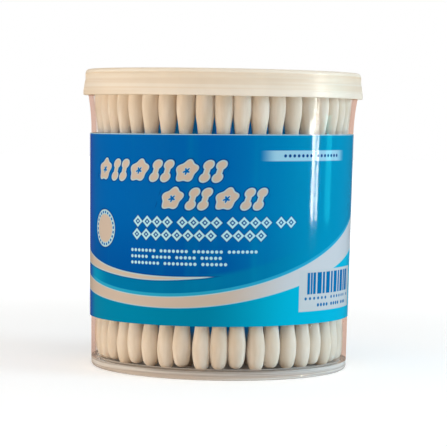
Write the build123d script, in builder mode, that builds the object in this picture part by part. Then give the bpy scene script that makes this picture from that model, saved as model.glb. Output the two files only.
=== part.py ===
from build123d import *

import os
from math import atan2, cos, degrees, pi, radians, sin, sqrt, tan

# Cotton swab tub: a clear round tub with a lift-off snap lid, a film label wrapped round its wall, and its swabs.
# Millimetres, +Z up. The origin is the middle of the foot, on the surface that the tub stands on.
# The front of the label faces -Y.

# Tub: foot, floor and drafted wall
foot_radius = 34.5
wall_draft = 0.75  # degrees, the wall opens upwards
wall = 1.0
foot_height = 0.9
foot_width = 1.3
foot_corner_radius = 0.8
floor_thickness = 1.1
floor_chamfer = 0.8

# Tub: flared shoulder, neck and snap bead
headroom = 0.7  # highest swab to the rim
neck_length = 4.4  # straight neck below the rim
neck_flare = 1.85  # the neck's radius over the foot's
shoulder_rise = 9.9
bead_projection = 0.15
bead_lift = 2.2  # neck to the foot of the bead
bead_rise = 0.4
rim_lead_in = 0.35

# Lid
lid_clearance = 0.3  # tub's bead to the skirt
seat_clearance = 0.05  # tub's rim to the panel
panel = 1.05
skirt_overlap = 0.4  # how far the skirt reaches down past the neck
skirt_wall = 0.8
skirt_draft_run = 0.2
skirt_step = 0.3
skirt_step_rise = 1.0
skirt_shoulder_drop = 1.35
stacking_ring_rise = 1.0
stacking_ring_width = 1.2
lid_chamfer = 0.6
lid_bead_projection = 0.12
lid_bead_lift = 0.8  # skirt's lower edge to the bead
lid_bead_height = 1.0

# Label: film wrapped round the outside of the wall, set on slightly askew
label_lift = 14.1
label_margin = 0.2  # label to the shoulder
label_film = 0.12
label_clearance = 0.04
label_skew = 0.65  # degrees, about the front-to-back axis
label_overrun = 2.0  # the sleeve is made this much too tall, then trimmed askew

# Swab: a plastic stick with a cotton bud wound on each end
swab_length = 73.6
swab_sides = 6
stick_diameter = 2.4
bud_diameter = 4.5
bud_length = 15.5
bud_belly_height = 4.6  # its widest place, from the tip
bud_tip_diameter = 2.0
bud_crown_diameter = 3.7
bud_crown_height = 1.4
bud_waist_diameter = 3.5
bud_waist_height = 10.5

# Outer ring of swabs
swab_spacing = 0.1  # least gap between neighbouring buds, before they sway
wall_clearance = 0.2  # bud to the tub's wall
floor_clearance = 0.1
sway = 0.3  # how far each end of a swab stands from its even place along the ring
lift = 0.8  # how far the highest swab stands above the lowest

# Inner swabs, packed in a honeycomb
bundle_clearance = 0.15  # honeycomb to the ring
inner_tip_height = 1.6

# Levels and radii worked out from the sizes above
floor_height = foot_height + floor_thickness
swab_foot = floor_height + floor_clearance
rim_height = swab_foot + lift + swab_length + headroom
neck_height = rim_height - neck_length
neck_radius = foot_radius + neck_flare
shoulder_height = neck_height - shoulder_rise
bead_radius = neck_radius + bead_projection
bead_height = neck_height + bead_lift
label_height = shoulder_height - label_margin - label_lift
panel_height = rim_height + seat_clearance
lid_low = neck_height - skirt_overlap
lid_top = panel_height + panel + stacking_ring_rise
skirt_inside = bead_radius + lid_clearance
lid_ring_radius = skirt_inside + skirt_wall - skirt_draft_run - skirt_step


def wall_radius(height):
    """Outer radius of the drafted wall at a height above the foot."""
    return foot_radius + height * tan(radians(wall_draft))


def wobble(number, turn_share):
    """A repeatable spread from -1 to 1 that differs from one swab to the next."""
    golden_share = (sqrt(5) - 1) / 2
    return sin(2 * pi * (number * golden_share + turn_share))


# Tub
with BuildPart() as tub:
    with BuildSketch(Plane.XZ) as tub_section:
        with BuildLine():
            foot_corner = (wall_radius(0), 0)
            foot_inside = foot_radius - foot_corner_radius - foot_width
            shoulder = (wall_radius(shoulder_height), shoulder_height)
            inner_shoulder = (wall_radius(shoulder_height) - wall, shoulder_height)
            neck = (neck_radius, neck_height)
            inner_neck = (neck_radius - wall, neck_height)
            outside = Polyline(
                (0, foot_height), (foot_inside, foot_height), (foot_inside, 0), foot_corner, shoulder
            )
            TangentArc(shoulder, neck, tangent=outside % 1)
            Polyline(
                neck,
                (neck_radius, bead_height),
                (bead_radius, bead_height + bead_rise),
                (neck_radius - rim_lead_in, rim_height),
                (neck_radius - wall, rim_height),
                inner_neck,
            )
            TangentArc(inner_shoulder, inner_neck, tangent=outside % 1)
            Polyline(
                inner_shoulder,
                (wall_radius(floor_height + floor_chamfer) - wall, floor_height + floor_chamfer),
                (wall_radius(floor_height) - wall - floor_chamfer, floor_height),
                (0, floor_height),
                (0, foot_height),
            )
        make_face()
        fillet(tub_section.vertices().sort_by_distance(foot_corner)[0], foot_corner_radius)
    revolve(axis=Axis.Z)
tub.part.label = "tub"

# Lid
with BuildPart() as lid:
    with BuildSketch(Plane.XZ) as lid_section:
        with BuildLine():
            bead_foot = lid_low + lid_bead_lift
            ring_inside = lid_ring_radius - stacking_ring_width
            Polyline(
                (0, panel_height),
                (neck_radius, panel_height),
                (skirt_inside, panel_height - skirt_shoulder_drop),
                (skirt_inside, bead_foot + lid_bead_height),
                (skirt_inside - lid_bead_projection, bead_foot + lid_bead_height / 2),
                (skirt_inside, bead_foot),
                (skirt_inside, lid_low),
                (skirt_inside + skirt_wall, lid_low),
                (lid_ring_radius + skirt_step, panel_height - skirt_step_rise),
                (lid_ring_radius, panel_height),
                (lid_ring_radius, lid_top),
                (ring_inside, lid_top),
                (ring_inside, panel_height + panel),
                (0, panel_height + panel),
                close=True,
            )
        make_face()
        chamfer(lid_section.vertices().sort_by_distance((lid_ring_radius, lid_top))[0], lid_chamfer)
    revolve(axis=Axis.Z)
lid.part.label = "lid"

# Label
with BuildPart() as label:
    sleeve_foot = label_lift - label_overrun
    sleeve_head = label_lift + label_height + label_overrun
    with BuildSketch(Plane.XZ):
        with BuildLine():
            inside_foot = wall_radius(sleeve_foot) + label_clearance
            inside_head = wall_radius(sleeve_head) + label_clearance
            Polyline(
                (inside_foot, sleeve_foot),
                (inside_foot + label_film, sleeve_foot),
                (inside_head + label_film, sleeve_head),
                (inside_head, sleeve_head),
                close=True,
            )
        make_face()
    revolve(axis=Axis.Z)
    label_middle = Plane.XY.offset(label_lift + label_height / 2).rotated((0, -label_skew, 0))
    split(bisect_by=label_middle.offset(label_height / 2), keep=Keep.BOTTOM)
    split(bisect_by=label_middle.offset(-label_height / 2), keep=Keep.TOP)
label.part.label = "label"


def narrowing_bands(rings):
    """Stacks flat-sided bands that narrow upwards through rings, each a height and the width across corners."""
    for (low, low_width), (high, high_width) in zip(rings, rings[1:]):
        with BuildSketch(Plane.XY.offset(low)) as band:
            RegularPolygon(low_width / 2, swab_sides)
        narrowing = (low_width - high_width) / 2 * cos(pi / swab_sides)
        extrude(band.sketch, amount=high - low, taper=degrees(atan2(narrowing, high - low)))


# One swab. Each bud is widest at its belly, rounds off to a blunt tip and tapers on to the stick
with BuildPart() as bud_end:
    crown = (bud_belly_height - bud_crown_height, bud_crown_diameter)
    narrowing_bands([(0, bud_diameter), crown, (bud_belly_height, bud_tip_diameter)])
    mirror(about=Plane.XY, mode=Mode.REPLACE)

with BuildPart() as plain_swab:
    waist = (bud_waist_height, bud_waist_diameter)
    narrowing_bands([(bud_belly_height, bud_diameter), waist, (bud_length, stick_diameter)])
    with BuildSketch(Plane.XY.offset(bud_length)):
        RegularPolygon(stick_diameter / 2, swab_sides)
    extrude(amount=swab_length / 2 - bud_length)
    with Locations((0, 0, bud_belly_height)):
        add(bud_end.part)
    mirror(about=Plane.XY.offset(swab_length / 2))

# Swabs of the outer ring. Each stands along the wall, a little out of line with its neighbours
bud_inset = wall + wall_clearance + bud_diameter / 2
ring_foot_radius = wall_radius(floor_height) - bud_inset
ring_head_radius = wall_radius(floor_height + swab_length) - bud_inset
ring_count = int(2 * pi * ring_foot_radius / (bud_diameter + swab_spacing))


def ring_point(radius, number, sway_share, height):
    """A point on the ring of swabs, moved along the ring by its sway."""
    angle = 2 * pi * number / ring_count + sway * sway_share / radius
    return Vector(radius * sin(angle), -radius * cos(angle), height)


swabs = []
for number in range(ring_count):
    stand = swab_foot + lift * (1 + wobble(number, 1 / 2)) / 2
    foot = ring_point(ring_foot_radius, number, wobble(number, 0), stand)
    head = ring_point(ring_head_radius, number, wobble(3 * number, 1 / 4), stand + swab_length)
    with BuildPart() as swab:
        with Locations(Plane(foot, x_dir=(foot.X, foot.Y, 0), z_dir=head - foot).location):
            add(plain_swab.part)
    swab.part.label = f"swab_{number + 1:02}"
    swabs.append(swab)

# Inner swabs: their buds press together in a honeycomb at each end, round one bundle of sticks
cell_radius = bud_diameter / sqrt(3)
honeycomb_reach = ring_foot_radius - bud_diameter / 2 - bundle_clearance - cell_radius
honeycomb_count = 2 * int(honeycomb_reach / bud_diameter) + 3
honeycomb = HexLocations(bud_diameter / 2, honeycomb_count, honeycomb_count)
cells = [cell for cell in honeycomb if cell.position.length < honeycomb_reach]
swab_head = swab_foot + swab_length

# One inner tip: a block cut to a blunt point by a slanted plane over each side of its cell
with BuildPart() as inner_tip:
    with BuildSketch():
        RegularPolygon(bud_diameter, swab_sides)
    extrude(amount=inner_tip_height)
    for side in range(swab_sides):
        outward = Vector(1, 0, 0).rotate(Axis.Z, 360 * (side + 1 / 2) / swab_sides)
        slope = outward * inner_tip_height + Vector(0, 0, bud_diameter / 2)
        split(bisect_by=Plane(outward * bud_diameter / 2, z_dir=slope), keep=Keep.BOTTOM)

with BuildPart() as inner_swabs:
    for end, face in ((swab_head, 1), (swab_foot, -1)):
        bud_base = Plane((0, 0, end - face * inner_tip_height), x_dir=(1, 0, 0), z_dir=(0, 0, face))
        with BuildSketch(bud_base):
            with Locations(*cells):
                RegularPolygon(cell_radius, swab_sides)
        extrude(amount=inner_tip_height - bud_length)
        with Locations(*[bud_base.location * cell for cell in cells]):
            add(inner_tip.part)
    with BuildSketch(Plane.XY.offset(swab_foot + bud_length)):
        with Locations(*cells):
            RegularPolygon(cell_radius, swab_sides)
        offset(amount=(stick_diameter - bud_diameter) / 2, kind=Kind.INTERSECTION)
    extrude(amount=swab_length - 2 * bud_length)
inner_swabs.part.label = "inner_swabs"

os.makedirs("parts", exist_ok=True)
for piece in (tub, lid, label, *swabs, inner_swabs):
    export_step(piece.part, f"parts/{piece.part.label}.step")
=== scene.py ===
from functools import partial, reduce
from math import cos, pi, radians, sin, sqrt, tan

import bmesh
import bpy
from bpy.props import FloatProperty, FloatVectorProperty, PointerProperty
from mathutils import Matrix, Vector, noise


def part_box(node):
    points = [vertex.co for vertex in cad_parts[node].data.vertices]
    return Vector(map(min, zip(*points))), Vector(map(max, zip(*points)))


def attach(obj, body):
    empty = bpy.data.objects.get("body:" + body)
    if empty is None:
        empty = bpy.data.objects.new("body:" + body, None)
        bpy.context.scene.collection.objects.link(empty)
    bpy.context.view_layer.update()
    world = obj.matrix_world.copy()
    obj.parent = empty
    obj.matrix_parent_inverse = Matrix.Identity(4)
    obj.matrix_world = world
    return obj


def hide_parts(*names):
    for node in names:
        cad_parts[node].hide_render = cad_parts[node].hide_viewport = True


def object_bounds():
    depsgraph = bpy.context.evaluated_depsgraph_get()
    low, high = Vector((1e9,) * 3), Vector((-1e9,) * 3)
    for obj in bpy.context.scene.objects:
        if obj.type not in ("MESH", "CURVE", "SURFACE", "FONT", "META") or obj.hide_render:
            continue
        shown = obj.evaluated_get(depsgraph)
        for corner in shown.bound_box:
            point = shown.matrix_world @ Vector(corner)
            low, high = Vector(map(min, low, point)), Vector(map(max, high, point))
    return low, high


bl_info = {
    "name": "Cotton Swab Tub",
    "version": (1, 0, 0),
    "blender": (4, 5, 0),
    "location": "3D View > Sidebar > Swab Tub",
    "description": "Makes a clear tub of cotton swabs with its lid, its label and a studio",
    "category": "Add Mesh",
}

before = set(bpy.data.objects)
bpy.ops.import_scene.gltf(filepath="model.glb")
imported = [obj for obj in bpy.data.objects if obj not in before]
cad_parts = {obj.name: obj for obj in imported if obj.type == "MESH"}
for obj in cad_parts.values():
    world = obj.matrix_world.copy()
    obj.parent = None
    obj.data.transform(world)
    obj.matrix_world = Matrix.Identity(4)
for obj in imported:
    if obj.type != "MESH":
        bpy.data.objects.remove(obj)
cad_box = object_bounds()
tub_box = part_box("tub")
lid_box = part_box("lid")

MM = 0.001
ROUND_STEPS = 192
LUMP_SEED = 1  # without it, the noise differs from run to run
RING_NAMES = sorted(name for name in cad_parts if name.startswith("swab_"))


def length(name, millimetres, description):
    """A length that a user can set, with its default given in millimetres."""
    return FloatProperty(name=name, description=description, default=millimetres * MM, min=0, unit="LENGTH")


def angle(name, degrees, description):
    """An angle that a user can set, with its default given in degrees."""
    return FloatProperty(name=name, description=description, default=radians(degrees), subtype="ANGLE")


def colour(name, description, *parts):
    """A colour that a user can set, with its default given as sRGB values from 0 to 255."""
    return FloatVectorProperty(
        name=name, description=description, default=linear(*parts), size=3, min=0, max=1, subtype="COLOR"
    )


def strength(name, default, description):
    """The strength of a light that a user can set."""
    return FloatProperty(name=name, description=description, default=default, min=0)


def linear(*parts):
    """Turns sRGB values from 0 to 255 into the linear values that nodes take."""
    shares = [part / 255 for part in parts]
    return tuple(share / 12.92 if share <= 0.04045 else ((share + 0.055) / 1.055) ** 2.4 for share in shares)


class TubSizes(bpy.types.PropertyGroup):
    """Sizes of the tub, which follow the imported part."""

    foot_radius: length("Foot radius", 34.5, "Outer radius of the wall at the foot")
    wall_draft: angle("Wall draft", 0.75, "How far the wall opens upwards")
    wall: length("Wall", 1.0, "Thickness of the wall")
    foot_height: length("Foot height", 0.9, "Height of the foot ring under the floor")
    foot_width: length("Foot width", 2.1, "Width of the foot ring")
    floor_thickness: length("Floor", 1.1, "Thickness of the floor")
    floor_chamfer: length("Floor chamfer", 0.8, "Chamfer where the floor meets the wall")
    shoulder_drop: length("Shoulder drop", 14.3, "Rim down to where the wall starts to flare")
    neck_drop: length("Neck drop", 4.4, "Rim down to the foot of the straight neck")
    bead_projection: length("Bead projection", 0.15, "How far the snap bead stands out from the neck")
    bead_lift: length("Bead lift", 2.2, "Foot of the neck up to the snap bead")
    bead_rise: length("Bead rise", 0.4, "Height over which the snap bead swells")
    rim_lead_in: length("Rim lead-in", 0.35, "How far the rim draws in above the bead")
    foot_corner: length("Foot corner", 0.8, "Rounding where the wall meets the foot")
    foot_edge: length("Foot edge", 0.25, "Rounding of the foot ring's inner edges")
    floor_edge: length("Floor edge", 0.5, "Rounding of both edges of the floor's chamfer")
    rim_edge: length("Rim edge", 0.2, "Rounding of the rim's edges")


class LidSizes(bpy.types.PropertyGroup):
    """Sizes of the lid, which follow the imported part."""

    skirt_wall: length("Skirt wall", 0.8, "Thickness of the skirt at its lower edge")
    panel: length("Panel", 1.05, "Thickness of the top panel")
    panel_drop: length("Panel drop", 1.0, "How far the panel lies under the stacking ring")
    ring_width: length("Stacking ring width", 1.4, "Width of the stacking ring")
    ring_inset: length("Stacking ring inset", 0.5, "Stacking ring in from the skirt's lower edge")
    step: length("Step", 0.3, "Width of the step under the stacking ring")
    step_drop: length("Step drop", 3.05, "Top of the lid down to the step")
    groove: length("Groove", 0.12, "Depth of the fine grooves round the skirt")
    upper_groove_drop: length("Upper groove drop", 1.25, "Top of the lid down to the upper groove")
    lower_groove_drop: length("Lower groove drop", 2.15, "Top of the lid down to the lower groove")
    top_corner: length("Top corner", 1.0, "Rounding of the stacking ring's outer edge")
    lip_height: length("Lip height", 1.5, "Height of the lip along the lower edge")
    seat_drop: length("Seat drop", 1.35, "Underside of the panel down to the inside of the skirt")
    bead_projection: length("Bead projection", 0.12, "How far the inner bead stands in from the skirt")
    bead_lift: length("Bead lift", 0.8, "Lower edge of the skirt up to the inner bead")
    bead_height: length("Bead height", 1.0, "Height of the inner bead")


class LabelSizes(bpy.types.PropertyGroup):
    """Sizes of the label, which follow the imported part."""

    lift: length("Lift", 14.1, "Foot of the tub up to the label's lower edge")
    height: length("Height", 48.6, "Height of the label")
    film: length("Film", 0.12, "Thickness of the film")
    clearance: length("Clearance", 0.04, "Film to the tub's wall")
    lap: length("Lap", 5.0, "How far the film's two ends overlap at the back")
    skew: angle("Skew", 0.65, "How far askew the label was put on")
    bleed: length("Bleed", 0.25, "How far the film runs on below its print")
    loose: length("Loose", 0.3, "How far the film stands off the wall at the left")


class SwabSizes(bpy.types.PropertyGroup):
    """Sizes of the swabs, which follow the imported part."""

    length: length("Length", 73.6, "Length from tip to tip")
    stick_diameter: length("Stick diameter", 2.4, "Diameter of the plastic stick")
    bud_diameter: length("Bud diameter", 4.5, "Diameter of the cotton at its widest")
    bud_length: length("Bud length", 15.5, "Length of the cotton on each end")
    floor_clearance: length("Floor clearance", 0.1, "Floor to the lowest swab")
    wall_clearance: length("Wall clearance", 0.2, "Outer ring of swabs to the wall")
    bundle_clearance: length("Bundle clearance", 0.15, "Inner swabs to the outer ring")
    sway: length("Sway", 0.3, "How far each end stands from its even place along the ring")
    lift: length("Lift", 0.8, "How far the highest swab stands above the lowest")
    lump: length("Lump", 0.13, "How uneven the wound cotton is")
    lean: length("Lean", 0.55, "How far each end of an inner swab stands out of line")


class Inks(bpy.types.PropertyGroup):
    """Colours of the printed label, and a painted tint where it turns away at the left."""

    deep_blue: colour("Deep blue", "Main field, at the left and in the middle", 0, 96, 172)
    low_blue: colour("Low blue", "Main field towards its lower edge", 0, 82, 158)
    right_blue: colour("Right blue", "Main field towards the right", 0, 138, 178)
    sea_blue: colour("Sea blue", "Field above the wide band", 0, 115, 164)
    lower_left: colour("Lower left", "Field under the wide band, at the left", 0, 128, 166)
    lower_right: colour("Lower right", "Field under the wide band, towards the right", 2, 174, 208)
    # Painted shade and painted reflection, not print: the field darker and redder where it turns away at the
    # left
    painted_left_edge: colour("Left edge", "Main field where it turns away at the left", 22, 78, 178)
    cream: colour("Cream", "Bands and large motifs", 197, 179, 163)
    cool_grey: colour("Cool grey", "Wide band towards the right", 194, 199, 204)
    pale_edge: colour("Pale edge", "Thin edges round the cream", 172, 206, 214)
    outline: colour("Outline", "Dark edge round the motifs", 0, 62, 128)
    bright_line: colour("Bright line", "Line along the upper side of the wide band", 40, 158, 194)
    pale_motif: colour("Pale motif", "Rows of lozenges and dots", 176, 222, 232)
    strip: colour("Strip", "Faded strip near the top", 150, 196, 216)
    panel: colour("Panel", "Pale panel at the right", 190, 198, 202)
    bars: colour("Bars", "Bars and dots on the panel", 10, 108, 164)


class Studio(bpy.types.PropertyGroup):
    """Strength of the lamps and of the light from all round."""

    world_light: strength("World light", 0.45, "Even light from all round")
    mirrored_room: strength("Mirrored room", 0.06, "Brightness of the room that gloss mirrors")
    key_power: strength("Key power", 1.25, "Watts of the large soft lamp")
    window_power: strength("Window power", 3.8, "Watts of the cool lamp at the right")
    fill_power: strength("Fill power", 1.4, "Watts of the warm lamp at the left")
    strip_power: strength("Strip power", 1.8, "Watts of the brightest mirrored strip")
    foot_power: strength("Foot power", 0.0532, "Watts of the cool lamp low beside the tub")


def node_sum(operation):
    """A way to write one Math node as a sum."""
    return lambda value, other: value.recipe.math(operation, value, other)


class Value:
    """A number that a material works out at every point. Sums with it add Math nodes."""

    def __init__(self, recipe, socket):
        self.recipe = recipe
        self.socket = socket

    __add__ = node_sum("ADD")
    __sub__ = node_sum("SUBTRACT")
    __mul__ = node_sum("MULTIPLY")
    __truediv__ = node_sum("DIVIDE")
    __mod__ = node_sum("FLOORED_MODULO")

    def __rsub__(self, other):
        return self.recipe.math("SUBTRACT", other, self)

    def __neg__(self):
        return self * -1

    def __abs__(self):
        return self.recipe.math("ABSOLUTE", self)


class Recipe:
    """The nodes of one material or world. Its methods add nodes and give back what comes out of them."""

    def __init__(self, owner):
        self.owner = owner
        owner.use_nodes = True
        self.tree = owner.node_tree
        self.tree.nodes.clear()
        self.place = self.add("TexCoord").outputs["Object"]

    def add(self, kind, inputs=(), **settings):
        """Adds a node with its settings, and gives each named input a value or a link."""
        node = self.tree.nodes.new(f"ShaderNode{kind}")
        for name, value in settings.items():
            setattr(node, name, value)
        for key, value in dict(inputs).items():
            self.feed(node.inputs[key], value)
        return node

    def first(self, kind, inputs=(), **settings):
        """Adds a node, and gives back its first output."""
        return self.add(kind, inputs, **settings).outputs[0]

    def feed(self, socket, value):
        """Links a socket to another, or sets its value."""
        if isinstance(value, Value):
            value = value.socket
        if isinstance(value, bpy.types.NodeSocket):
            self.tree.links.new(value, socket)
        elif socket.type == "RGBA":
            socket.default_value = (*value, 1)
        else:
            socket.default_value = value

    def axes(self):
        """The three Object coordinates."""
        return [Value(self, socket) for socket in self.add("SeparateXYZ", {0: self.place}).outputs]

    def math(self, operation, *values):
        """One sum."""
        return Value(self, self.first("Math", enumerate(values), operation=operation))

    def reach(self, wide, tall):
        """Distance from the origin of a point that lies at wide and tall."""
        return self.math("SQRT", wide * wide + tall * tall)

    def mix(self, share, low, high):
        """A colour from low to high."""
        return self.add("Mix", {0: share, 6: low, 7: high}, data_type="RGBA").outputs[2]

    def span(self, value, low, high, to_low=0, to_high=1):
        """Spreads a value smoothly from one range over another, and holds it within that."""
        inputs = enumerate((value, low, high, to_low, to_high))
        return Value(self, self.first("MapRange", inputs, interpolation_type="SMOOTHSTEP"))

    def noise(self, scale, detail=2, stretch=(1, 1, 1)):
        """Noise over the piece, from 0 to 1, with its scale in lumps a metre."""
        place = self.first("Mapping", {"Vector": self.place, "Scale": stretch})
        inputs = {"Vector": place, "Scale": scale, "Detail": detail}
        return Value(self, self.first("TexNoise", inputs))

    def bump(self, height):
        """Normals that follow a height in millimetres."""
        return self.first("Bump", {"Height": height, "Strength": 1, "Distance": MM})

    def slant(self, power):
        """0 where the surface faces the view, up to 1 at its edges."""
        facing = self.add("LayerWeight", {"Blend": 0.5}).outputs["Facing"]
        return self.math("POWER", facing, power)

    def direct(self, mirrored):
        """1 for the rays that show the background. mirrored is the share of it that gloss shows."""
        rays = self.add("LightPath").outputs
        glossy = self.math("MULTIPLY", rays["Is Glossy Ray"], mirrored)
        either = self.math("MAXIMUM", rays["Is Camera Ray"], glossy)
        return self.math("MAXIMUM", either, rays["Is Transmission Ray"])

    def blend(self, share, low, high):
        """A shader from low to high."""
        return self.first("MixShader", enumerate((share, low, high)))

    def finish(self, shader):
        """Links the shader to the output, and gives back the material or world."""
        kind = "World" if isinstance(self.owner, bpy.types.World) else "Material"
        self.add(f"Output{kind}", {"Surface": shader})
        return self.owner


def material(name):
    """The recipe of a new material."""
    return Recipe(bpy.data.materials.new(name))


def clear_plastic(name, painted_edge_tint=(254, 254, 253)):
    """Clear moulded plastic: light goes straight through. Where it is seen edge-on it is tinted with painted
    shade and a painted warm reflection, for the light that the slanted wall bends and mirrors.
    """
    recipe = material(name)
    mirror_share = recipe.slant(5) * 0.16 + 0.008
    ripple = recipe.noise(70, stretch=(1, 1, 0.2)) * 0.05
    grain = recipe.noise(900) * 0.0012
    normal = recipe.bump(ripple + grain)
    # Painted shade and painted warm reflection: the wall is tinted where it is seen edge-on
    edge_on = recipe.span(recipe.slant(1), 0.67, 0.76)
    tint = recipe.mix(edge_on, linear(254, 254, 253), linear(*painted_edge_tint))
    through = recipe.first("BsdfTransparent", {"Color": tint})
    mirror = recipe.first("BsdfGlossy", {"Roughness": 0.07, "Normal": normal})
    haze = recipe.first("BsdfDiffuse", {"Color": linear(238, 230, 220)})
    dust = recipe.span(recipe.noise(400, 4), 0.5, 0.8, 0, 0.015)
    return recipe.finish(recipe.blend(mirror_share, recipe.blend(dust, through, haze), mirror))


def foot_plastic():
    """The same plastic where it is thick, at the floor and foot: greyer, with fine level lines. The grey
    tint, banded light and dark along the lines, is painted shade and painted reflection for the light that
    the thick floor bends and mirrors.
    """
    recipe = material("foot_plastic")
    mirror_share = recipe.slant(4) * 0.4 + 0.02
    lines = recipe.noise(120, 3, stretch=(0.15, 0.15, 10))
    normal = recipe.bump(lines * 0.1)
    # Painted shade and painted reflection: a grey tint that the level lines band light and dark
    tint = recipe.mix(recipe.span(lines, 0.42, 0.58), linear(236, 222, 208), linear(252, 248, 244))
    through = recipe.first("BsdfTransparent", {"Color": tint})
    mirror = recipe.first("BsdfGlossy", {"Roughness": 0.12, "Normal": normal})
    milk = recipe.first("BsdfDiffuse", {"Color": linear(232, 224, 215), "Normal": normal})
    milky = recipe.span(lines, 0.42, 0.58, 0.3, 0.65)
    return recipe.finish(recipe.blend(mirror_share, recipe.blend(milky, through, milk), mirror))


def frosted_plastic():
    """Milky moulded plastic: it glows, shows what is close behind it and has a waxy gloss."""
    recipe = material("frosted_plastic")
    cloud = recipe.noise(60, 3)
    levels = recipe.noise(90, 2, stretch=(0.08, 0.08, 12))
    tone = recipe.mix(cloud, linear(252, 245, 233), linear(255, 250, 242))
    lined = recipe.mix(recipe.span(levels, 0.42, 0.6, 0, 0.5), tone, linear(240, 225, 203))
    grain = recipe.noise(500) * 0.01
    inputs = {
        "Base Color": lined,
        "Roughness": 0.4,
        "Normal": recipe.bump(grain + levels * 0.03),
        "Specular IOR Level": 0.25,
        "Coat Weight": 0.14,
        "Coat Roughness": 0.2,
    }
    body = recipe.first("BsdfPrincipled", inputs)
    glow = recipe.first("BsdfTranslucent", {"Color": lined})
    through = recipe.first("BsdfTransparent", {"Color": linear(254, 246, 234)})
    milk = recipe.blend(0.35, body, glow)
    clearness = recipe.span(cloud, 0.3, 0.7, 0.12, 0.22)
    return recipe.finish(recipe.blend(clearness, milk, through))


def cotton(name, sizes, middle, blue_from, blue_to, most_blue):
    """Wound cotton: fine fibres along the swab, soft lumps, and blue where it thins out.

    middle is the height of the swab's middle. blue_from and blue_to are millimetres from its tip. The blue
    is partly the blue stick showing through and partly painted light, brighter than the stick, for the blue
    light that comes through the label film. It also glows a little, a painted glow for the same light."""
    recipe = material(name)
    z = recipe.axes()[2]
    from_tip = sizes.length / 2 - abs(z - middle)
    fibres = recipe.noise(900, 4, stretch=(1, 1, 0.12))
    lumps = recipe.noise(260, 2, stretch=(1, 1, 0.5))
    tone = recipe.mix(recipe.span(lumps, 0.3, 0.7), linear(223, 204, 184), linear(232, 216, 200))
    streaked = recipe.mix(recipe.span(fibres, 0.35, 0.7, 0, 0.4), tone, linear(209, 187, 163))
    # Blue where the cotton thins: partly the stick showing through, partly painted blue light from the label
    # film; it also sets a painted glow
    blue = recipe.span(from_tip, blue_from * MM, blue_to * MM, 0, most_blue)
    inputs = {
        "Base Color": recipe.mix(blue, streaked, linear(10, 180, 245)),
        "Emission Color": linear(0, 106, 158),
        "Emission Strength": blue * 0.3,
        "Roughness": 0.9,
        "Normal": recipe.bump(fibres * 0.03 + lumps * 0.12),
        "Sheen Weight": 0.2,
        "Sheen Roughness": 0.5,
        "Specular IOR Level": 0.15,
        "Subsurface Weight": 0.2,
        "Subsurface Radius": (0.0012, 0.001, 0.0008),
        "Subsurface Scale": 1.0,
    }
    return recipe.finish(recipe.first("BsdfPrincipled", inputs))


def stick_plastic():
    """Blue plastic of the sticks, with drawn lines along it."""
    recipe = material("stick_plastic")
    lines = recipe.noise(1500, 2, stretch=(1, 1, 0.02))
    tone = recipe.mix(lines, linear(0, 84, 156), linear(14, 112, 184))
    inputs = {"Base Color": tone, "Roughness": 0.35, "Normal": recipe.bump(lines * 0.02)}
    return recipe.finish(recipe.first("BsdfPrincipled", inputs))


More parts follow.
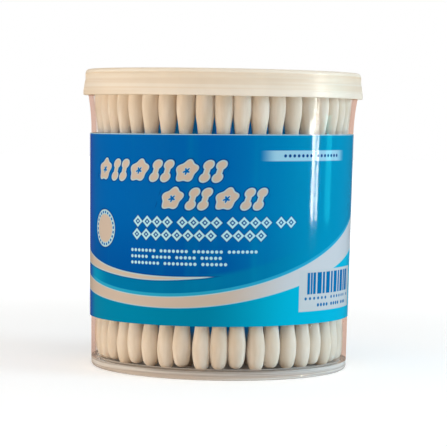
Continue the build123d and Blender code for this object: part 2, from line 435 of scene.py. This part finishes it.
class LabelPrint(Recipe):
    """The label's print, as fields of colour and simple shapes on its flat sheet.

    across is the distance round the tub from the front, to the right, and up is the height above the
    label's lower edge, both in millimetres. A distance is below 0 inside a shape."""

    def __init__(self, sizes, inks, radius):
        super().__init__(bpy.data.materials.new("label_film"))
        self.inks = inks
        self.height = sizes.height / MM
        x, y, z = self.axes()
        self.across = self.math("ARCTAN2", x, -y) * (radius / MM)
        level = (z - (sizes.lift + sizes.height / 2)) * (cos(sizes.skew) / MM)
        self.up = level - x * (sin(sizes.skew) / MM) + self.height / 2
        self.ink = None

    def inside(self, distance, soft=0.12):
        """1 where a distance is below 0, and 0 beyond."""
        return self.span(distance, soft, -soft)

    def nearest(self, *distances):
        """Distance to several shapes together."""
        return reduce(partial(self.math, "MINIMUM"), distances)

    def shared(self, *distances):
        """Distance to what several shapes share."""
        return reduce(partial(self.math, "MAXIMUM"), distances)

    def box(self, left, right, low, high):
        """Distance to an upright rectangle."""
        wide = abs(self.across - (left + right) / 2) - (right - left) / 2
        tall = abs(self.up - (low + high) / 2) - (high - low) / 2
        return self.shared(wide, tall)

    def sweep(self, level, tilt, bend, lowest, round_off):
        """Height of a long curve that is straight at both ends and round between them."""
        run = (self.across - lowest) * bend
        return self.math("SQRT", run * run + round_off**2) + self.across * tilt + level

    def lay(self, share, ink):
        """Lays ink over what is printed so far."""
        self.ink = self.mix(share, self.ink, ink)

    def shape(self, distance, fill, edge=None, edge_width=0.35, outline_width=0.0):
        """Prints a shape, with a thin edge and a dark outline where they are wanted."""
        if outline_width:
            self.lay(self.inside(distance - outline_width, 0.25), self.inks.outline)
        self.lay(self.inside(distance), edge or fill)
        if edge:
            self.lay(self.inside(distance + edge_width), fill)

    def fields(self):
        """Fields of blue that turn greener to the right, and the two long bands."""
        inks, across, up = self.inks, self.across, self.up
        rightward = self.span(across, -6, 32)
        deep = self.mix(self.span(up, 32, 12), inks.deep_blue, inks.low_blue)
        self.ink = self.mix(rightward, deep, inks.right_blue)

        band_top = self.sweep(level=-23.76, tilt=0.161, bend=0.566, lowest=-0.14, round_off=32.24)
        band_foot = self.sweep(level=-2.21, tilt=0.097, bend=0.258, lowest=-3.76, round_off=7.33)
        above_band = up - band_top
        sea = self.mix(self.span(across, 4, 32), inks.sea_blue, inks.right_blue)
        sea_share = self.inside(above_band - 4.6, 0.8)
        self.lay(sea_share, sea)
        self.lay(self.span(across, -33, -44, 0, 0.5) * sea_share, inks.lower_right)
        glow = self.noise(150, 2, stretch=(1, 1, 0.03))
        self.lay(self.span(glow, 0.48, 0.75, 0, 0.4), inks.right_blue)
        lower = self.mix(self.span(across, -6, 22), inks.lower_left, inks.lower_right)
        self.lay(self.inside(above_band), lower)
        self.lay(self.inside(abs(above_band - 0.4) - 0.45), inks.bright_line)
        # Painted shade and painted reflection where the field turns away at the left
        self.lay(self.span(across, -42, -49) * self.span(across, -70, -54), inks.painted_left_edge)

        cream = self.mix(self.span(across, -2, 20), inks.cream, inks.cool_grey)
        self.shape(self.shared(above_band, band_foot - up), cream, inks.pale_edge, 0.2)

        thin_top = self.sweep(level=3.12, tilt=-0.123, bend=0.239, lowest=-28.72, round_off=6.62)
        thin_foot = self.sweep(level=9.85, tilt=-0.002, bend=0.125, lowest=-18.61, round_off=1.32)
        thin = self.shared(up - thin_top, thin_foot - up) + self.span(across, -5, 4) * 0.5
        self.shape(thin, inks.cream, inks.pale_edge, 0.25, 0.2)

    def slanted_row(self, low, left, right, pairs):
        """A slanted row in which a cotton boll and two swabs take turns."""
        inks = self.inks
        height, slant = 5.8, 0.34
        pitch = (right - left) / pairs
        boll_at, swabs_at = pitch * 0.255, pitch * 0.755
        boll_radius, petal_depth = 2.75, 0.3
        half_apart, half_stick = 1.62, 1.6
        rise = self.up - (low + height / 2)
        along = self.across - rise * slant - left
        ends = self.shared(-along, along - pitch * pairs)
        step = along % pitch

        beside = step - boll_at
        size = self.reach(beside, rise)
        petals = self.math("COSINE", self.math("ARCTAN2", beside, rise) * 5)
        boll = size - petals * petal_depth - boll_radius
        aside = abs(abs(step - swabs_at) - half_apart)
        end = abs(rise) - half_stick
        bud = (self.reach(aside / 1.4, end / 1.3) - 1) * 1.35
        stick = self.shared(aside - 0.8, end)
        row = self.shared(self.nearest(boll, bud, stick), ends)
        self.shape(row, inks.cream, inks.pale_edge, 0.3, 0.3)
        heart = self.shared(size + petals * 0.25 - 0.9, ends)
        self.shape(heart, inks.deep_blue, inks.pale_edge, 0.2)

    def chain(self, left, pitch, group, gap, count):
        """Place along a row of motifs: beside the nearest one, and how far outside its group or the row."""
        along = self.across - left
        period = pitch * group + gap
        place = along % period
        gaps = (count - 1) // group
        outside = self.shared(place - pitch * group, -along, along - (pitch * count + gap * gaps))
        return place % pitch - pitch / 2, outside

    def lozenge_row(self, low, left, group, count):
        """A row of open lozenges, in groups."""
        rise = self.up - (low + 1.3)
        beside, outside = self.chain(left, 2.95, group, 1.1, count)
        lozenge = abs((abs(beside) + abs(rise) - 1.15) * 0.7) - 0.25
        dot = self.reach(beside, rise) - 0.26
        row = self.shared(self.nearest(lozenge, dot), outside)
        self.shape(row, self.inks.pale_motif, outline_width=0.15)

    def dotted_row(self, middle, left, group, count, ink, pitch=1.15, size=0.4):
        """A row of small dots, in groups."""
        beside, outside = self.chain(left, pitch, group, pitch * 0.8, count)
        dot = self.reach(beside, self.up - middle) - size
        self.lay(self.inside(self.shared(dot, outside)), ink)

    def seal(self, across, up, radius):
        """A cream disc in a dashed ring."""
        inks = self.inks
        beside, rise = self.across - across, self.up - up
        size = self.reach(beside, rise) - radius
        self.shape(size, inks.pale_edge, outline_width=0.3)
        dashes = self.math("SINE", self.math("ARCTAN2", beside, rise) * 22)
        ring = self.inside(abs(size + 0.7) - 0.3)
        self.lay(ring * self.span(dashes, -0.6, 0.2), inks.deep_blue)
        self.lay(self.inside(size + 1.2), inks.cream)

    def strip(self):
        """A strip that fades out at both ends."""
        fade = self.span(self.across, 9.5, 14.5) * self.span(self.across, 39.5, 35)
        self.lay(self.inside(self.box(8, 42, 41.8, 44.5)) * fade, self.inks.strip)
        self.dotted_row(43.15, 16, 7, 14, self.inks.outline, pitch=1.35, size=0.42)

    def panel(self):
        """A pale panel with upright bars."""
        inks = self.inks
        self.lay(self.inside(self.box(21.9, 47.7, 3.0, 13.7)), inks.panel)
        beat = self.math("SINE", self.across * 5.1) + self.math("SINE", self.across * 3.3)
        bars = self.inside(self.box(24.6, 45.8, 7.4, 13.0)) * self.span(beat, -0.75, -0.45)
        self.lay(bars, inks.bars)
        self.dotted_row(6.3, 23.4, 6, 13, inks.bars, pitch=1.55)
        self.dotted_row(4.5, 28.2, 4, 11, inks.bars, pitch=1.25, size=0.45)

    def upper_edge(self):
        """A thin pale line along the upper edge."""
        self.lay(self.inside(self.height - 0.22 - self.up), self.inks.pale_edge)

    def waves(self):
        """Height of the film in millimetres: long waves and fine crinkles."""
        waves = self.noise(60, 2, stretch=(1, 1, 0.25))
        crinkles = self.noise(1000, 2, stretch=(1, 1, 0.6))
        return waves * 0.06 + crinkles * 0.007


def label_film(sizes, inks, radius):
    """Glossy printed film, waved by the way it was put on."""
    art = LabelPrint(sizes, inks, radius)
    art.fields()
    art.slanted_row(low=36.3, left=-39.7, right=1.2, pairs=3)
    art.slanted_row(low=29.3, left=-16.4, right=11.9, pairs=2)
    art.lozenge_row(low=24.9, left=-24.3, group=4, count=14)
    art.lozenge_row(low=21.6, left=-24.6, group=8, count=12)
    for middle, group, count in ((18.8, 7, 28), (17.2, 5, 20), (15.6, 8, 22)):
        art.dotted_row(middle, -25.2, group, count, inks.pale_motif)
    art.seal(across=-36.4, up=23.8, radius=4.9)
    art.strip()
    art.panel()
    art.upper_edge()
    inputs = {
        "Base Color": art.ink,
        "Roughness": 0.06,
        "Normal": art.bump(art.waves()),
        "Specular IOR Level": 0.08,
    }
    return art.finish(art.first("BsdfPrincipled", inputs))


def lathe(corners, steps):
    """Turns an outline round the Z axis. Each corner has a radius, a height and how much it is rounded."""
    turn = {"axis": (0, 0, 1), "cent": (0, 0, 0), "angle": 2 * pi, "steps": steps, "use_merge": True}
    round_off = {"segments": 4, "profile": 0.5, "affect": "VERTICES", "material": -1}
    shape = bmesh.new()
    points = [shape.verts.new((radius, 0, height)) for radius, height, _ in corners]
    for start, end in zip(points, points[1:]):
        shape.edges.new((start, end))
    for point, (_, _, rounding) in zip(points, corners):
        if rounding:
            bmesh.ops.bevel(shape, geom=[point], offset=rounding, **round_off)
    bmesh.ops.spin(shape, geom=[*shape.verts, *shape.edges], **turn)
    bmesh.ops.remove_doubles(shape, verts=shape.verts, dist=0.001 * MM)
    bmesh.ops.recalc_face_normals(shape, faces=shape.faces)
    return shape


def arc(start, heading, end, count=8):
    """Points along the arc that leaves start in a heading and ends at end, without its two ends."""
    chord = Vector(end) - Vector(start)
    normal = Vector((heading[1], -heading[0])).normalized()
    centre = Vector(start) + normal * (chord.length_squared / (2 * chord.dot(normal)))
    spoke = Vector(start) - centre
    turn = (Vector(end) - centre).angle_signed(spoke)
    return [tuple(centre + Matrix.Rotation(turn * step / count, 2) @ spoke) for step in range(1, count)]


def mesh_of(name, shape):
    """Turns a finished shape into a mesh."""
    mesh = bpy.data.meshes.new(name)
    shape.to_mesh(mesh)
    shape.free()
    return mesh


def object_of(name, data):
    """Puts a mesh, a lamp or a camera into the scene."""
    made = bpy.data.objects.new(name, data)
    bpy.context.scene.collection.objects.link(made)
    return made


def piece(name, shape, materials, body, nodes, smooth_angle=radians(35)):
    """Makes a finished shape an object that rides on its body, takes its slot and replaces its nodes."""
    mesh = mesh_of(name, shape)
    for finish in materials:
        mesh.materials.append(finish)
    mesh.shade_smooth()
    mesh.set_sharp_from_angle(angle=smooth_angle)
    made = object_of(name, mesh)
    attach(made, body)
    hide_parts(*nodes)
    return made


def wall_radius(sizes, height):
    """Outer radius of the tub's wall at a height."""
    return sizes.foot_radius + height * tan(sizes.wall_draft)


def floor_height(sizes):
    """Height of the tub's floor, inside."""
    return sizes.foot_height + sizes.floor_thickness


def tub_outline(sizes):
    """Outline of the tub's section, from the middle of its underside round to the middle of its floor."""
    rim = tub_box[1].z
    bead_radius = tub_box[1].x
    neck_radius = bead_radius - sizes.bead_projection
    neck, shoulder = rim - sizes.neck_drop, rim - sizes.shoulder_drop
    bead = neck + sizes.bead_lift
    floor = floor_height(sizes)
    wall = sizes.wall
    heading = (sin(sizes.wall_draft), cos(sizes.wall_draft))
    outer = [(wall_radius(sizes, shoulder), shoulder), (neck_radius, neck)]
    inner = [(wall_radius(sizes, shoulder) - wall, shoulder), (neck_radius - wall, neck)]
    for side in (outer, inner):
        side[1:1] = arc(side[0], heading, side[1])
    foot_inside = sizes.foot_radius - sizes.foot_width
    chamfer = sizes.floor_chamfer
    thick = floor + 0.5 * chamfer
    return [
        (0, sizes.foot_height, 0),
        (foot_inside, sizes.foot_height, sizes.foot_edge),
        (foot_inside, 0, sizes.foot_edge),
        (sizes.foot_radius, 0, sizes.foot_corner),
        (wall_radius(sizes, thick), thick, 0),
        *[(radius, height, 0) for radius, height in outer],
        (neck_radius, bead, 0.1 * MM),
        (bead_radius, bead + sizes.bead_rise, 0.12 * MM),
        (neck_radius - sizes.rim_lead_in, rim, sizes.rim_edge),
        (neck_radius - wall, rim, sizes.rim_edge),
        *[(radius, height, 0) for radius, height in reversed(inner)],
        (wall_radius(sizes, floor + chamfer) - wall, floor + chamfer, sizes.floor_edge),
        (wall_radius(sizes, floor) - wall - chamfer, floor, sizes.floor_edge),
        (0, floor, 0),
    ]


def lid_outline(sizes):
    """Outline of the lid's section, from the middle of the panel's underside round to that of its top."""
    low, top, radius = lid_box[0].z, lid_box[1].z, lid_box[1].x
    panel_top = top - sizes.panel_drop
    panel = panel_top - sizes.panel
    inside = radius - sizes.skirt_wall
    ring = radius - sizes.ring_inset
    bead = low + sizes.bead_lift
    groove = sizes.groove
    grooves = []
    for level in (top - sizes.upper_groove_drop, top - sizes.lower_groove_drop):
        grooves += [(ring, level - groove, 0), (ring - groove, level, 0), (ring, level + groove, 0)]
    return [
        (0, panel, 0),
        (inside - 0.45 * MM, panel, 0.25 * MM),
        (inside, panel - sizes.seat_drop, 0.3 * MM),
        (inside, bead + sizes.bead_height, 0.1 * MM),
        (inside - sizes.bead_projection, bead + sizes.bead_height / 2, 0.1 * MM),
        (inside, bead, 0.1 * MM),
        (inside, low, 0.2 * MM),
        (radius, low, 0.25 * MM),
        (radius, low + sizes.lip_height, 0.08 * MM),
        (radius - groove / 2, low + sizes.lip_height + groove, 0.08 * MM),
        (ring + sizes.step - groove, top - sizes.step_drop - 3 * groove, 0.2 * MM),
        (ring, top - sizes.step_drop + 2 * groove, 0.15 * MM),
        *grooves,
        (ring, top, sizes.top_corner),
        (ring - sizes.ring_width, top, 0.25 * MM),
        (ring - sizes.ring_width, panel_top, 0.3 * MM),
        (0, panel_top, 0),
    ]


# Radius as a share of the bud's, and height as a share of the bud's length, from the tip to the stick
TIP_SHARES = ((0.3, 0.0), (0.64, 0.022), (0.87, 0.08), (1.0, 0.18))
FOOT_SHARES = (
    *TIP_SHARES,
    *((1.1, 0.29), (1.1, 0.4), (1.0, 0.52), (0.88, 0.63), (0.79, 0.75), (0.75, 0.88), (0.64, 0.97)),
)
HEAD_SHARES = (
    *TIP_SHARES,
    *((1.12, 0.3), (1.13, 0.43), (1.08, 0.55), (0.95, 0.66), (0.82, 0.78), (0.74, 0.89), (0.64, 0.97)),
)


def swab_shape(sizes, bud_shares, tips, number, steps):
    """One swab as a coarse cage with uneven cotton, given its two buds' shares and its two tips.

    The cage stands out as far as rounding it off draws it in, and the number gives it lumps of its own."""
    bud, stick = sizes.bud_diameter / 2, sizes.stick_diameter / 2
    neck = [(stick, sizes.bud_length * 0.99), (stick, sizes.bud_length)]
    lower, upper = (
        [(radius * bud, height * sizes.bud_length) for radius, height in shares] + neck
        for shares in bud_shares
    )
    upper = [(radius, sizes.length - height) for radius, height in reversed(upper)]
    outline = [(0, 0), *lower, *upper, (0, sizes.length)]
    shape = lathe([(radius, height, 0) for radius, height in outline], steps)
    cotton_end = sizes.bud_length * 0.985
    for face in shape.faces:
        face.material_index = int(cotton_end < face.calc_center_median().z < sizes.length - cotton_end)
    cage = 3 / (2 + cos(2 * pi / steps))
    noise.seed_set(LUMP_SEED)
    lump_size, own_place = 3 * MM, Vector((number * 7.3, number * 3.1, 0))
    for point in shape.verts:
        point.co.x *= cage
        point.co.y *= cage
        lump = noise.noise_vector(point.co / lump_size + own_place)
        if point.co.xy.length > stick * cage * 1.02:
            point.co += lump * sizes.lump
    foot, head = tips
    upright = (head - foot).normalized()
    outward = Vector((foot.x, foot.y, 0)).normalized() if foot.xy.length else Vector((1, 0, 0))
    side = upright.cross(outward).normalized()
    turned = Matrix((side.cross(upright), side, upright)).transposed().to_4x4()
    shape.transform(Matrix.Translation(foot) @ turned)
    return shape


def smooth(made, levels):
    """Rounds off a coarse cage."""
    surface = made.modifiers.new("smooth", "SUBSURF")
    surface.levels = levels
    surface.render_levels = levels


def wobble(number, turn_share):
    """A repeatable spread from -1 to 1 that differs from one swab to the next."""
    return sin(2 * pi * (number * (sqrt(5) - 1) / 2 + turn_share))


def ring_point(sizes, radius, number, sway_share, height):
    """A point on the ring of swabs, moved along the ring by its sway."""
    turn = 2 * pi * number / len(RING_NAMES) + sizes.sway * sway_share / radius
    return Vector((radius * sin(turn), -radius * cos(turn), height))


def ring_radius(tub, swab, height):
    """Radius of the ring of swabs at a height above the floor."""
    floor = floor_height(tub)
    return wall_radius(tub, floor + height) - tub.wall - swab.wall_clearance - swab.bud_diameter / 2


def stand_height(tub, swab, number, turn_share):
    """Height of a swab's lower tip, which differs from one swab to the next."""
    return floor_height(tub) + swab.floor_clearance + swab.lift * (1 + wobble(number, turn_share)) / 2


def swab_middle(tub, swab):
    """Height of the middle of a swab that stands as high as most."""
    return floor_height(tub) + swab.floor_clearance + swab.lift / 2 + swab.length / 2


class SWABTUB_OT_tub(bpy.types.Operator):
    """Make the clear tub"""

    bl_idname = "swab_tub.tub"
    bl_label = "Tub"

    def execute(self, context):
        sizes = context.scene.tub_sizes
        shape = lathe(tub_outline(sizes), ROUND_STEPS)
        thick = floor_height(sizes) + sizes.floor_chamfer + 0.1 * MM
        for face in shape.faces:
            middle = face.calc_center_median()
            inner = face.normal.xy.dot(middle.xy) < 0
            face.material_index = 1 if all(point.co.z < thick for point in face.verts) else 2 * inner
        finishes = [
            clear_plastic("clear_plastic", painted_edge_tint=(240, 220, 210)),
            foot_plastic(),
            clear_plastic("clear_inside"),
        ]
        piece("clear_tub", shape, finishes, "container", ["tub"])
        return {"FINISHED"}


class SWABTUB_OT_lid(bpy.types.Operator):
    """Make the frosted lid"""

    bl_idname = "swab_tub.lid"
    bl_label = "Lid"

    def execute(self, context):
        shape = lathe(lid_outline(context.scene.lid_sizes), ROUND_STEPS)
        piece("frosted_lid", shape, [frosted_plastic()], "lid", ["lid"])
        return {"FINISHED"}


class SWABTUB_OT_label(bpy.types.Operator):
    """Wrap the printed film round the tub"""

    bl_idname = "swab_tub.label"
    bl_label = "Label"

    def execute(self, context):
        scene = context.scene
        sizes, tub = scene.label_sizes, scene.tub_sizes
        middle = sizes.lift + sizes.height / 2
        radius = wall_radius(tub, middle) + sizes.clearance + sizes.film
        around = 2 * pi * radius + sizes.lap
        shape = bmesh.new()
        bmesh.ops.create_grid(shape, x_segments=224, y_segments=10, size=0.5)
        lap_from, lap_full = around / 2 - 1.5 * sizes.lap, around / 2 - sizes.lap
        loose_turn = radians(-94)
        for point in shape.verts:
            arc_length = point.co.x * around
            rise = point.co.y * sizes.height + (point.co.y - 0.5) * sizes.bleed
            turn = arc_length / radius
            on_top = min(1, max(0, (arc_length - lap_from) / (lap_full - lap_from)))
            lapped = (sizes.film + 0.02 * MM) * on_top
            height = middle + rise * cos(sizes.skew) + radius * sin(turn) * sin(sizes.skew)
            bulge = sizes.loose * max(0, cos(turn - loose_turn)) ** 6
            reach = wall_radius(tub, height) + sizes.clearance + lapped + bulge
            point.co = (reach * sin(turn), -reach * cos(turn), height)
        bmesh.ops.recalc_face_normals(shape, faces=shape.faces)
        if shape.faces[0].normal.dot(shape.faces[0].calc_center_median().xy.to_3d()) < 0:
            bmesh.ops.reverse_faces(shape, faces=shape.faces)
        bmesh.ops.solidify(shape, geom=shape.faces[:], thickness=-sizes.film)
        film = label_film(sizes, scene.inks, radius)
        piece("printed_label", shape, [film], "container", ["label"])
        return {"FINISHED"}


class SWABTUB_OT_ring_swabs(bpy.types.Operator):
    """Stand the outer ring of swabs along the wall"""

    bl_idname = "swab_tub.ring_swabs"
    bl_label = "Ring of Swabs"

    def execute(self, context):
        sizes, tub = context.scene.swab_sizes, context.scene.tub_sizes
        middle = swab_middle(tub, sizes)
        wound = cotton("cotton", sizes, middle, blue_from=11, blue_to=16, most_blue=0.25)
        finishes = [wound, stick_plastic()]
        foot_radius, head_radius = ring_radius(tub, sizes, 0), ring_radius(tub, sizes, sizes.length)
        for number, node in enumerate(RING_NAMES):
            stand = stand_height(tub, sizes, number, 1 / 2)
            foot = ring_point(sizes, foot_radius, number, wobble(number, 0), stand)
            head = ring_point(sizes, head_radius, number, wobble(3 * number, 1 / 4), stand + sizes.length)
            shape = swab_shape(sizes, (FOOT_SHARES, HEAD_SHARES), (foot, head), number, steps=10)
            smooth(piece(f"cotton_{node}", shape, finishes, "container", [node], pi), 2)
        return {"FINISHED"}


class SWABTUB_OT_inner_swabs(bpy.types.Operator):
    """Pack the inner swabs in a honeycomb"""

    bl_idname = "swab_tub.inner_swabs"
    bl_label = "Inner Swabs"

    def execute(self, context):
        sizes, tub = context.scene.swab_sizes, context.scene.tub_sizes
        packed = bmesh.new()
        for number, (x, y) in enumerate(self.cells(tub, sizes), 1):
            stand = stand_height(tub, sizes, number, 0.3)
            foot = Vector((x, y, stand)) + self.out_of_line(sizes, number)
            head = Vector((x, y, stand + sizes.length)) + self.out_of_line(sizes, 5 * number)
            one = swab_shape(sizes, (HEAD_SHARES[::2],) * 2, (foot, head), number, steps=8)
            mesh = mesh_of("one_swab", one)
            packed.from_mesh(mesh)
            bpy.data.meshes.remove(mesh)
        middle = swab_middle(tub, sizes)
        wound = cotton("packed_cotton", sizes, middle, blue_from=6, blue_to=11, most_blue=0.95)
        finishes = [wound, bpy.data.materials["stick_plastic"]]
        smooth(piece("packed_swabs", packed, finishes, "container", ["inner_swabs"], pi), 1)
        return {"FINISHED"}

    def cells(self, tub, sizes):
        """Middles of the honeycomb's cells inside the ring of swabs."""
        pitch = sizes.bud_diameter
        reach = ring_radius(tub, sizes, 0) - pitch / 2 - sizes.bundle_clearance - pitch / sqrt(3)
        rows = int(reach / pitch) + 2
        for row in range(-rows, rows + 1):
            for column in range(-rows, rows + 1):
                x = pitch * row * sqrt(3) / 2
                y = pitch * (column + (row % 2) / 2)
                if sqrt(x**2 + y**2) < reach:
                    yield x, y

    def out_of_line(self, sizes, number):
        """How far one end of an inner swab stands from its even place."""
        return Vector((wobble(number, 0.1), wobble(number * 2, 0.6), 0)) * sizes.lean


class SWABTUB_OT_stage(bpy.types.Operator):
    """Set up the floor, the lamps and the camera"""

    bl_idname = "swab_tub.stage"
    bl_label = "Stage"

    def execute(self, context):
        studio = context.scene.studio
        self.floor()
        self.world(context.scene, studio)
        # Name, azimuth and elevation in degrees, distance, width and height, power and tone
        self.lamp("key", 4, 55, 0.75, (0.6, 0.5), studio.key_power, (1, 0.87, 0.7))
        self.lamp("window", 74, 9, 0.7, (0.35, 0.4), studio.window_power, (0.68, 0.87, 1))
        self.lamp("fill", -66, 0, 0.5, (0.4, 0.09), studio.fill_power, (1, 0.9, 0.78))
        # Name, azimuth, distance, width, lowest and highest point, power and tone
        white = (1, 1, 0.92)
        power, tall = studio.strip_power, (0.009, 0.24)
        self.strip("left_strip", 83, 0.5, 0.028, tall, power, white)
        self.strip("right_strip", 87.7, 0.5, 0.022, tall, power * 0.6, white)
        self.strip("blue_strip", 102.5, 0.5, 0.07, tall, power * 0.25, (0.03, 0.9, 0.95))
        low = self.strip("low_strip", 83.1, 0.227, 0.0085, (-0.012, 0.062), power * 0.075, white)
        self.light_only(low, "shoulder", ["clear_tub"])
        # Name, azimuth, power and tone
        self.foot_lamp("cool_foot", 62, studio.foot_power, (0.1, 0.56, 1))
        self.foot_lamp("warm_foot", -68, studio.foot_power * 3 / 7, (1, 0.87, 0.68))
        self.camera(context.scene)
        context.scene.view_settings.view_transform = "Standard"
        return {"FINISHED"}

    def foot_lamp(self, name, azimuth, power, tone):
        """Lays a small lamp low beside the tub, for the light that a bright table throws back."""
        made = self.lamp(name, azimuth, 0, 0.15, (0.12, 0.03), power, tone)
        made.location.z = 0.006
        made.visible_camera = False
        self.light_only(made, name, ["clear_tub", *[f"cotton_{node}" for node in RING_NAMES]])

    def light_only(self, lamp, name, pieces):
        """Keeps a lamp's light to a few pieces."""
        lit = bpy.data.collections.new(name)
        for each in pieces:
            lit.objects.link(bpy.data.objects[each])
        lamp.light_linking.receiver_collection = lit

    def floor(self):
        """Lays a pale floor."""
        shape = bmesh.new()
        bmesh.ops.create_circle(shape, cap_ends=True, segments=96, radius=3)
        mesh = mesh_of("floor", shape)
        mesh.materials.append(self.pale_floor())
        made = object_of("floor", mesh)
        made.visible_glossy = False

    def pale_floor(self):
        """Matt white that keeps the shadow near the tub and is plain white further off."""
        recipe = material("pale_floor")
        x, y, _ = recipe.axes()
        away = recipe.span(recipe.reach(x, y), 0.1, 0.5)
        tone = recipe.mix(recipe.noise(3), (0.8, 0.8, 0.8), (0.82, 0.82, 0.82))
        matt = recipe.first("BsdfDiffuse", {"Color": tone})
        lift = recipe.direct(1) * (away * 0.6 + 0.4)
        glow = recipe.first("Emission", {"Strength": lift})
        return recipe.finish(recipe.first("AddShader", enumerate((matt, glow))))

    def world(self, scene, studio):
        """Even light from all round, in front of plain white."""
        recipe = Recipe(bpy.data.worlds.new("studio"))
        glossy = recipe.add("LightPath").outputs["Is Glossy Ray"]
        light, room = studio.world_light, studio.mirrored_room
        even = recipe.math("MULTIPLY_ADD", glossy, room - light, light)
        behind = recipe.span(recipe.axes()[1], 0.94, 0.99)
        strength = even + recipe.direct(behind) * (1 - even)
        inputs = {"Color": (1, 1, 1), "Strength": strength}
        scene.world = recipe.finish(recipe.first("Background", inputs))

    def lamp(self, name, azimuth, elevation, distance, size, power, tone):
        """Hangs a rectangular lamp that faces the middle of the tub. Azimuth 0 is at the camera's side."""
        turn, rise = radians(azimuth), radians(elevation)
        middle = (cad_box[0] + cad_box[1]) / 2
        away = Vector((sin(turn) * cos(rise), -cos(turn) * cos(rise), sin(rise)))
        light = bpy.data.lights.new(name, "AREA")
        light.shape = "RECTANGLE"
        light.size, light.size_y = size
        light.energy = power
        light.color = tone
        made = object_of(name, light)
        made.visible_glossy = False
        facing = away.to_track_quat("Z", "Y").to_matrix().to_4x4()
        made.matrix_world = Matrix.Translation(middle + away * distance) @ facing
        return made

    def strip(self, name, azimuth, distance, width, reach, power, tone):
        """Stands a narrow lamp at the side that only shows mirrored in gloss."""
        low, high = reach
        made = self.lamp(name, azimuth, 0, distance, (width, high - low), power, tone)
        made.location.z = (low + high) / 2
        made.visible_glossy = True
        made.visible_diffuse = False
        return made

    def camera(self, scene):
        """Puts the camera where the photograph was taken from."""
        pitch, yaw, roll = radians(2.98), radians(0.078), radians(0.99)
        focal_pixels, image_pixels = 1944, 447
        place = Vector((0, -525.8, 65.7)) * MM
        ahead = Vector((sin(yaw) * cos(pitch), cos(yaw) * cos(pitch), -sin(pitch)))
        level = Vector((cos(yaw), -sin(yaw), 0))
        above = level.cross(ahead)
        right = level * cos(roll) + above * sin(roll)
        up = above * cos(roll) - level * sin(roll)
        camera = bpy.data.cameras.new("camera")
        camera.lens = camera.sensor_width * focal_pixels / image_pixels
        camera.dof.use_dof = False
        made = object_of("camera", camera)
        made.matrix_world = Matrix.Translation(place) @ Matrix((right, up, -ahead)).transposed().to_4x4()
        scene.camera = made


STEPS = (
    SWABTUB_OT_tub,
    SWABTUB_OT_lid,
    SWABTUB_OT_label,
    SWABTUB_OT_ring_swabs,
    SWABTUB_OT_inner_swabs,
    SWABTUB_OT_stage,
)


class SWABTUB_PT_panel(bpy.types.Panel):
    """Lists the steps and their sizes"""

    bl_label = "Cotton Swab Tub"
    bl_space_type = "VIEW_3D"
    bl_region_type = "UI"
    bl_category = "Swab Tub"

    def draw(self, context):
        """Shows a button for each step and a box for each group of sizes."""
        for step in STEPS:
            self.layout.operator(step.bl_idname)
        for name, group in GROUPS.items():
            box = self.layout.box()
            box.label(text=name.replace("_", " ").capitalize())
            for key in group.__annotations__:
                box.prop(getattr(context.scene, name), key)


GROUPS = {
    "tub_sizes": TubSizes,
    "lid_sizes": LidSizes,
    "label_sizes": LabelSizes,
    "swab_sizes": SwabSizes,
    "inks": Inks,
    "studio": Studio,
}


CLASSES = (*GROUPS.values(), *STEPS, SWABTUB_PT_panel)


def register():
    """Registers the steps, the panel and the sizes."""
    for each in CLASSES:
        bpy.utils.register_class(each)
    for name, group in GROUPS.items():
        setattr(bpy.types.Scene, name, PointerProperty(type=group))


def unregister():
    """Takes them away again."""
    for name in GROUPS:
        delattr(bpy.types.Scene, name)
    for each in reversed(CLASSES):
        bpy.utils.unregister_class(each)


def main():
    """Makes every piece and the stage."""
    register()
    for step in STEPS:
        group, name = step.bl_idname.split(".")
        getattr(getattr(bpy.ops, group), name)()


if __name__ == "__main__":
    main()
